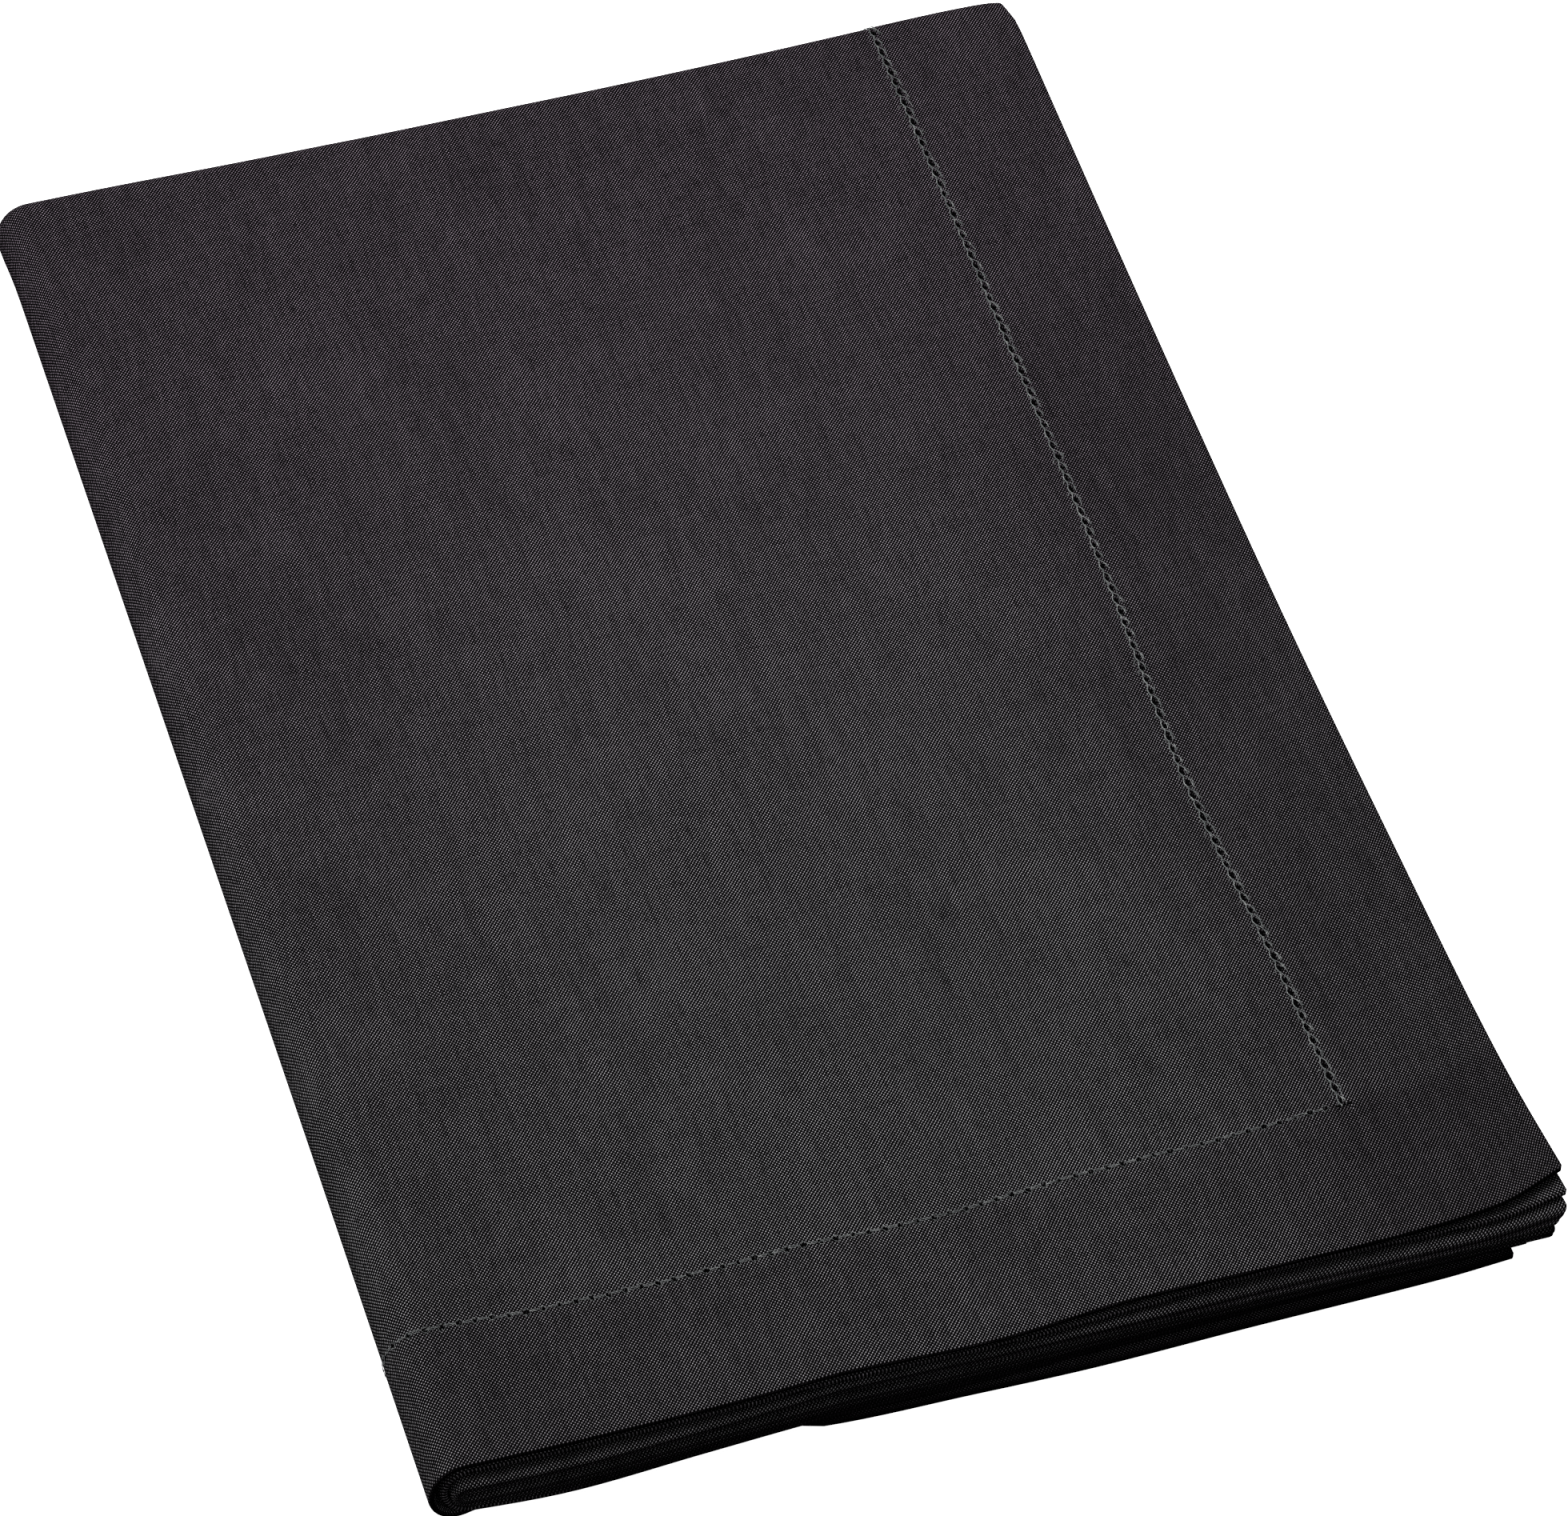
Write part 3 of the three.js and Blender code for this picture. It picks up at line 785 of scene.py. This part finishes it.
def stitch_line(first, last, pitch, wander):
    """Stitches along a line: their places, how far each lies beside it and how large it is."""
    places = np.arange(first, last, pitch)
    places = places + rng.normal(0, PITCH_SPREAD, len(places))
    beside = rng.normal(0, wander, len(places))
    size = rng.uniform(*SIZE_RANGE, len(places))
    return places, beside, size


def pits(along, across, line, half_length, half_width, taper):
    """Holes of one line: 1 in the middle of the nearest hole and 0 outside it. A hole is an
    ellipse that narrows towards larger values along the line."""
    places, beside, size = line
    nearest = np.abs(along[..., None] - places).argmin(axis=-1)
    off_along = (along - places[nearest]) / (half_length * size[nearest])
    narrowing = 1 - taper * np.clip(off_along, -1, 1)
    off_across = (across - beside[nearest]) / (half_width * size[nearest] * narrowing)
    return 1 - smooth_step(*PIT_WALL, np.hypot(off_along, off_across))


def make_band(name, u, v, beside, hole):
    """A strip flush with the cloth, a little drawn in along its line, with pits for its holes. Its
    two long edges dip under the cloth's face."""
    flush, _ = face_heights(u, v)
    dip = EDGE_DIP * smooth_step(BAND_HALF - EDGE_STRETCH, BAND_HALF, np.abs(beside))
    drawn = DRAWN_DEPTH * fade(beside, DRAWN_REACH)
    top = flush - dip - drawn - PIT_DEPTH * hole
    # The bands carry the cloth's painted shade as their own.
    marks = {"hole": hole, "shade": cloth_shade(u, v)}
    band = make_shell(name, u, v, top, top - BAND_THICKNESS, marks)
    band.data.materials.append(weave)
    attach(band, "root")
    return band


# Points across a band stand close about its holes. The lines are the side line, the near line and
# the short run of the lower half's line that shows on the far fold.
outward = np.array([0.16, 0.32, 0.48, 0.64, 0.8, 0.96, 1.15, 1.4, 1.8, 2.3, 2.6, BAND_HALF])
band_across = np.concatenate([-outward[::-1], [0], outward])
side_line = stitch_line(HEM_WIDTH + SIDE_START, run_starts[2], SIDE_PITCH, SIDE_WANDER)
side_along = np.arange(HEM_WIDTH - SIDE_START, run_starts[2], BAND_STEP)
band_v, band_u = np.meshgrid(side_along, band_across, indexing="ij")
side_holes = pits(band_v, band_u, side_line, *SIDE_HOLE)
side_u = side_line_u(band_v) + band_u
side_band = make_band("side_hemstitch_band", side_u, band_v, band_u, side_holes)

near_end = FLAT_HALF + NEAR_LINE_TURN * TURN_LENGTH
near_line = stitch_line(HEM_WIDTH + NEAR_PITCH, near_end - 1, NEAR_PITCH, NEAR_WANDER)
near_along = np.arange(HEM_WIDTH + NEAR_BAND_START, near_end, BAND_STEP)
band_v, band_u = np.meshgrid(band_across, near_along, indexing="ij")
near_holes = pits(band_u, band_v, near_line, *NEAR_HOLE)
near_v = near_line_v(band_u) + band_v
near_band = make_band("near_hemstitch_band", band_u, near_v, band_v, near_holes)

under_line = stitch_line(FLAT_PLY, run_starts[2], SIDE_PITCH, SIDE_WANDER)
under_along = np.arange(FLAT_PLY - 2, run_starts[2], BAND_STEP)
band_v, band_u = np.meshgrid(under_along, band_across, indexing="ij")
under_holes = pits(band_v, band_u, under_line, *SIDE_HOLE)
under_u = CLOTH_WIDTH - HEM_WIDTH + band_u
under_band = make_band("under_hemstitch_band", under_u, band_v, band_u, under_holes)

# The hemstitching thread
# Loosely twisted cotton, lighter and a little greener than the cloth. On the side line a cord of
# two strands follows the left of the holes, and a second strand leaves each knot to the right. On
# the near line thin strands bundle up between the holes.
TUBE_SIDES = 5
# The cord's middle lies this far left of the holes' own line, swings further out at each hole, and
# reaches past the first and the last stitch by a share of the pitch.
CORD_ACROSS = 0.50
CORD_SWING = 0.20
CORD_STRAND = 0.075
CORD_STEP = 0.3
CORD_OVERHANG = 0.4
# Its two strands wind about each other, once in this length.
TWIST_LENGTH = 1.3
TWIST_ACROSS = 0.10
TWIST_UP = 0.08
CORD_UP = 0.06
KNOT_POINTS = 15
KNOT_UP = 0.10
KNOT_FLATNESS = 0.8


def bezier(controls, count):
    """Cubic curves of N strands from their four control points, an array N by 4 by 3."""
    t = np.linspace(0, 1, count)[None, :, None]
    a, b, c, d = (controls[:, i : i + 1, :] for i in range(4))
    return a * (1 - t) ** 3 + 3 * b * t * (1 - t) ** 2 + 3 * c * t * t * (1 - t) + d * t**3


def tubes(paths, normals, radius):
    """Closed tubes along N paths of M points. Each ring stands square to its path, measured from
    the cloth's normal, and a cap closes each end. Returns points, quads and triangles."""
    strands, steps, _ = paths.shape
    ahead = np.gradient(paths, axis=1)
    ahead = ahead / np.linalg.norm(ahead, axis=-1, keepdims=True)
    side = np.cross(ahead, normals)
    side = side / (np.linalg.norm(side, axis=-1, keepdims=True) + 1e-9)
    rise = np.cross(side, ahead)
    around = np.arange(TUBE_SIDES) * 2 * np.pi / TUBE_SIDES
    thick = np.broadcast_to(np.asarray(radius, float), (strands, steps))[..., None, None]
    ring = np.cos(around)[:, None] * side[:, :, None, :] + np.sin(around)[:, None] * rise[:, :, None, :]
    points = (paths[:, :, None, :] + thick * ring).reshape(-1, 3)
    at = np.arange(strands * steps * TUBE_SIDES).reshape(strands, steps, TUBE_SIDES)
    after = np.roll(at, -1, axis=2)
    quads = np.stack([at[:, :-1], after[:, :-1], after[:, 1:], at[:, 1:]], axis=-1).reshape(-1, 4)
    ends = len(points) + np.arange(2 * strands).reshape(2, strands, 1)
    points = np.concatenate([points, paths[:, 0], paths[:, -1]])
    first = np.stack(np.broadcast_arrays(ends[0], after[:, 0], at[:, 0]), axis=-1).reshape(-1, 3)
    last = np.stack(np.broadcast_arrays(ends[1], at[:, -1], after[:, -1]), axis=-1).reshape(-1, 3)
    return points, quads, np.concatenate([first, last])


def strands_on(u, v, height, radius):
    """Tubes that follow u, v and a height over the cloth's outer face."""
    flush, _ = face_heights(u, v)
    return tubes(cloth_point(u, v, flush + height), cloth_normal(u, v), radius)


def make_strands(name, groups):
    """One mesh of several groups of tubes."""
    points, quads, triangles = [], [], []
    count = 0
    for group_points, group_quads, group_triangles in groups:
        points.append(group_points)
        quads.append(group_quads + count)
        triangles.append(group_triangles + count)
        count += len(group_points)
    mesh = make_mesh(name, np.concatenate(points), np.concatenate(quads), np.concatenate(triangles))
    piece = bpy.data.objects.new(name, mesh)
    bpy.context.scene.collection.objects.link(piece)
    mesh.materials.append(thread)
    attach(piece, "root")
    return piece


# The yarn is fuzzy: its grey changes to a paler one, and its face rises and falls, within a
# millimetre or so.
THREAD_GREY = grey(0.09, (0.92, 1.0, 1.0))
THREAD_PALE = grey(0.26, (0.96, 1.0, 0.98))
FUZZ_SCALE = 900.0
FUZZ_RANGE = (0.45, 0.75)
FUZZ_RELIEF = 0.05
FUZZ_STRENGTH = 0.6
thread, thread_shader, field = new_material("hemstitch_thread")
place = field.node("ShaderNodeTexCoord", output="Object")
fuzz = field.node("ShaderNodeTexNoise", sockets={"Vector": place, "Scale": FUZZ_SCALE, "Detail": 2.0})
thread_colour = field.blend(THREAD_GREY, THREAD_PALE, fuzz.between(*FUZZ_RANGE))
fuzz_bump = field.node(
    "ShaderNodeBump",
    sockets={"Height": fuzz, "Distance": FUZZ_RELIEF * METRES, "Strength": FUZZ_STRENGTH},
)
field.tree.links.new(thread_colour.socket, thread_shader.inputs["Base Color"])
field.tree.links.new(fuzz_bump.socket, thread_shader.inputs["Normal"])
thread_shader.inputs["Roughness"].default_value = 0.7
thread_shader.inputs["Specular IOR Level"].default_value = 0.3


def on_stitches(line, offsets, jitter):
    """Control points of one strand at each stitch. An offset is along the line, across it and up,
    and each is shifted by chance."""
    places, beside, size = line
    controls = np.repeat(np.asarray(offsets, float)[None], len(places), axis=0)
    controls = controls + rng.normal(0, 1, controls.shape) * np.asarray(jitter)
    controls[..., :2] *= size[:, None, None]
    controls[..., 0] += places[:, None]
    controls[..., 1] += beside[:, None]
    return controls


def coils(line, along, across, radius, turns, width):
    """Small knots: at each stitch a thread winds round an axis along the line."""
    places, beside, size = line
    t = np.linspace(0, 1, KNOT_POINTS)[None, :]
    start = rng.uniform(0, 6, len(places))[:, None]
    angle = 2 * np.pi * turns * t + start
    path_along = (places + along)[:, None] + width * (t - 0.5)
    path_across = (beside + across)[:, None] + radius * np.cos(angle) * size[:, None]
    path_up = KNOT_UP + radius * KNOT_FLATNESS * np.sin(angle)
    return np.stack([path_along, path_across, path_up], axis=-1)


def side_strands(paths, radius):
    """Tubes on the side line, whose places along lie on v and across on u."""
    along, across, up = np.moveaxis(paths, -1, 0)
    return strands_on(side_line_u(along) + across, along, up, radius)


def near_strands(paths, radius):
    """Tubes on the near line, whose places along lie on u and across on v."""
    along, across, up = np.moveaxis(paths, -1, 0)
    return strands_on(along, near_line_v(along) + across, up, radius)


def twisted_cord(line, pitch, number):
    """One of two strands of a cord. It swings out round each hole and back between them on a
    cosine, and winds about the cord on a smaller ellipse, half a turn from the other strand."""
    places, beside, size = line
    overhang = CORD_OVERHANG * pitch
    t = np.arange(places[0] - overhang, places[-1] + overhang, CORD_STEP)
    nearest = np.abs(t[:, None] - places).argmin(axis=-1)
    phase = 2 * np.pi * (t - places[nearest]) / pitch
    twist = 2 * np.pi * t / TWIST_LENGTH + np.pi * number
    middle = CORD_ACROSS + np.interp(t, places, beside) + CORD_SWING * np.cos(phase) * size[nearest]
    path_across = middle + TWIST_ACROSS * np.cos(twist)
    path_up = CORD_UP + TWIST_UP * np.sin(twist)
    return np.stack([t, path_across, path_up], axis=-1)[None]


# On the side line: fine frayed ends right of the holes, short hooks on their left, the bold right
# strand, the cord and the knots. Each control point is a place along, across to the left and up,
# in millimetres from the middle of its hole, and under it is how far it may stray by chance.
frays = [
    side_strands(
        bezier(
            on_stitches(
                side_line,
                [(0.4, -0.6, 0.1), (0.1, -0.9, 0.25), (-0.4, -1.1, 0.25), (-0.7, -0.9, 0.05)],
                [(0.6, 0.2, 0.03), (0.6, 0.3, 0.06), (0.6, 0.3, 0.08), (0.8, 0.3, 0.04)],
            ),
            count=7,
        ),
        radius=0.032,
    )
    for _ in range(4)
]
hooks = [
    side_strands(
        bezier(
            on_stitches(
                side_line,
                [(-0.7, 0.6, 0.1), (-1.0, 0.9, 0.25), (-1.2, 1.2, 0.2), (-1.5, 1.2, 0.0)],
                [(0.3, 0.1, 0.03), (0.3, 0.2, 0.05), (0.3, 0.3, 0.06), (0.4, 0.3, 0.03)],
            ),
            count=7,
        ),
        radius=0.035,
    )
    for _ in range(2)
]
right_strand = side_strands(
    bezier(
        on_stitches(
            side_line,
            [(1.7, 0.30, 0.12), (1.0, -0.65, 0.22), (-0.3, -0.85, 0.2), (-1.5, -0.90, 0.06)],
            [(0.1, 0.08, 0.02), (0.2, 0.1, 0.04), (0.3, 0.12, 0.05), (0.4, 0.25, 0.04)],
        ),
        count=12,
    ),
    radius=0.065,
)
side_knots = coils(side_line, along=-1.55, across=0.30, radius=0.22, turns=2.2, width=0.5)
side_thread = make_strands(
    "side_hemstitch_thread",
    [
        side_strands(twisted_cord(side_line, SIDE_PITCH, 0), CORD_STRAND),
        side_strands(twisted_cord(side_line, SIDE_PITCH, 1), CORD_STRAND),
        side_strands(side_knots, radius=0.06),
        right_strand,
        *frays,
        *hooks,
    ],
)

# On the near line, where across is towards the far end: three spindles that bundle up between two
# holes, a tick down each side of a hole, and a small knot at its far and at its near end.
spindles = [
    near_strands(
        bezier(
            on_stitches(
                near_line,
                [(0.7, 0.10, 0.1), (1.3, off, 0.2), (2.3, off, 0.2), (2.9, 0.10, 0.1)],
                [(0.1, 0.1, 0.03), (0.2, 0.12, 0.05), (0.2, 0.12, 0.05), (0.1, 0.1, 0.03)],
            ),
            count=10,
        ),
        radius=0.045,
    )
    for off in (-0.35, 0.05, 0.4)
]
ticks = [
    near_strands(
        bezier(
            on_stitches(
                near_line,
                [(-0.1, 0.85, 0.08), (side, 0.4, 0.2), (side, -0.3, 0.2), (-0.1, -0.9, 0.05)],
                [(0.2, 0.1, 0.03), (0.1, 0.1, 0.04), (0.1, 0.1, 0.04), (0.25, 0.15, 0.03)],
            ),
            count=8,
        ),
        radius=0.035,
    )
    for side in (-1.0, 0.95)
]
far_knots = coils(near_line, along=0.0, across=0.72, radius=0.16, turns=1.6, width=0.35)
near_knots = coils(near_line, along=0.1, across=-0.7, radius=0.13, turns=1.4, width=0.3)
near_thread = make_strands(
    "near_hemstitch_thread",
    [
        near_strands(far_knots, radius=0.04),
        near_strands(near_knots, radius=0.035),
        *spindles,
        *ticks,
    ],
)

# The floor
# A plain pale surface that the cloth lies on. It glows a little, as a light table does, so that it
# stays even and near white, and it throws no light back on the cloth.
FLOOR_HALF = 4000.0
FLOOR_GLOW = 0.9
corners = np.array([[-1, -1, 0], [1, -1, 0], [1, 1, 0], [-1, 1, 0]]) * FLOOR_HALF
floor_mesh = make_mesh("floor", corners, np.array([[0, 1, 2, 3]]))
floor = bpy.data.objects.new("floor", floor_mesh)
bpy.context.scene.collection.objects.link(floor)
paper, paper_shader, field = new_material("pale_floor")
paper_shader.inputs["Base Color"].default_value = grey(0.88)
paper_shader.inputs["Roughness"].default_value = 0.8
paper_shader.inputs["Emission Color"].default_value = grey(1.0)
paper_shader.inputs["Emission Strength"].default_value = FLOOR_GLOW
floor_mesh.materials.append(paper)
floor.visible_diffuse = False

# The studio light
# A white room that is seen but throws no light, and six lamps. Most of the light is soft and comes
# from overhead, and a low one from the doubled side brings out the weave.
sky = bpy.data.worlds.new("studio")
sky.use_nodes = True
sky.node_tree.nodes["Background"].inputs["Color"].default_value = grey(1.0)
sky.cycles_visibility.diffuse = False
bpy.context.scene.world = sky
bpy.context.scene.view_settings.view_transform = "Standard"
# A thread is about a pixel wide in the picture. The denoiser would smooth the weave away, and a
# pixel filter narrower than usual keeps it crisp.
bpy.context.scene.cycles.use_denoising = False
bpy.context.scene.cycles.filter_width = 1.2


def aimed(name, lamp, place):
    """A lamp that faces the middle of the cloth."""
    holder = bpy.data.objects.new(name, lamp)
    holder.location = place
    holder.rotation_euler = (-Vector(place)).to_track_quat("-Z", "Y").to_euler()
    bpy.context.scene.collection.objects.link(holder)


# Distant lamps: the main one, the low one from the doubled side, one on the near hems, and a weak
# one on the open side. Each row is its strength, how many degrees wide it is, and where it stands.
DISTANT_LAMPS = [
    ("overhead_light", 1.55, 60, (-0.10, 0.18, 1.0)),
    ("side_light", 1.9, 30, (-1.0, 0.25, 0.12)),
    ("front_light", 0.48, 50, (0.15, -1.0, 0.7)),
    ("right_light", 0.3, 40, (1.0, 0.4, 0.25)),
]
# Lamps close to the cloth: a weak one at the near doubled corner, and one over the middle, which
# it makes the brightest part. Each row is its watts, its width in metres, and its place.
NEAR_LAMPS = [
    ("corner_light", 0.06, 0.2, (-0.25, -0.38, 0.16)),
    ("centre_light", 2.9, 0.25, (-0.03, -0.03, 0.5)),
]
for lamp_name, strength, softness, direction in DISTANT_LAMPS:
    lamp = bpy.data.lights.new(lamp_name, "SUN")
    lamp.energy = strength
    lamp.angle = np.radians(softness)
    aimed(lamp_name, lamp, direction)
for lamp_name, watts, width, place in NEAR_LAMPS:
    lamp = bpy.data.lights.new(lamp_name, "AREA")
    lamp.energy = watts
    lamp.size = width
    aimed(lamp_name, lamp, place)

# The camera
# It looks down at the near hems from the doubled side, from about 1.8 m away with a long lens.
camera_data = bpy.data.cameras.new("camera")
camera = bpy.data.objects.new("camera", camera_data)
bpy.context.scene.collection.objects.link(camera)
SENSOR_WIDTH = 36.0
LENS_LENGTH = 186.7
camera_data.sensor_width = SENSOR_WIDTH
camera_data.lens = LENS_LENGTH
CAMERA_TARGET = Vector((0.00208, -0.02406, 0.0162))
CAMERA_DISTANCE = 1.7972
CAMERA_ELEVATION = np.radians(49.861)
CAMERA_AZIMUTH = np.radians(17.431)
CAMERA_ROLL = np.radians(0.951)
ahead = Vector(
    (
        np.sin(CAMERA_AZIMUTH) * np.cos(CAMERA_ELEVATION),
        np.cos(CAMERA_AZIMUTH) * np.cos(CAMERA_ELEVATION),
        -np.sin(CAMERA_ELEVATION),
    )
)
right = Vector((np.cos(CAMERA_AZIMUTH), -np.sin(CAMERA_AZIMUTH), 0.0))
up = right.cross(ahead)
rolled_right = np.cos(CAMERA_ROLL) * right + np.sin(CAMERA_ROLL) * up
rolled_up = np.cos(CAMERA_ROLL) * up - np.sin(CAMERA_ROLL) * right
turned = Matrix((rolled_right, rolled_up, -ahead)).transposed()
camera.matrix_world = Matrix.Translation(CAMERA_TARGET - ahead * CAMERA_DISTANCE) @ turned.to_4x4()
bpy.context.scene.camera = camera
